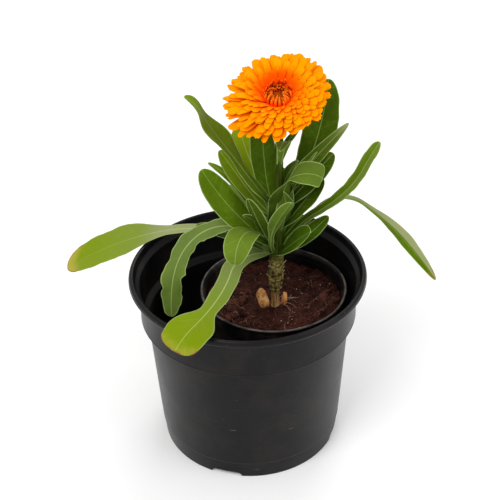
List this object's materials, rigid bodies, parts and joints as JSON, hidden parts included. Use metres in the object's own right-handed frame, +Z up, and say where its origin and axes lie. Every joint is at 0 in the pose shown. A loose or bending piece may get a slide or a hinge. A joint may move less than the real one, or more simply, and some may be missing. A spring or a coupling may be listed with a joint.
{
  "type": "potted calendula",
  "caption": "Double orange calendula with long green leaves, growing in a small black nursery pot that stands off centre inside a larger one.",
  "frame": {"origin": "centre of the large pot's underside, where it stands", "axes": "+Z up, +X to the right of the picture, -Y towards the picture's camera"},
  "size_m": [0.2679, 0.1738, 0.2845],
  "materials": {
    "black_plastic": "satin moulded black",
    "soil": "damp crumbly soil",
    "bark": "worn tan bark",
    "leaf_green": "soft matte leaf with fine hairs",
    "petal_orange": "matte petal",
    "eye_brown": "matte florets"
  },
  "bodies": {
    "root": {"outer_pot": "black_plastic", "inner_pot": "black_plastic", "potting_soil": "soil", "bark_chip_left": "bark", "bark_chip_right": "bark", "leafy_stem": "leaf_green", "bloom_petals": "petal_orange", "bloom_eye": "eye_brown"}
  },
  "joints": []
}
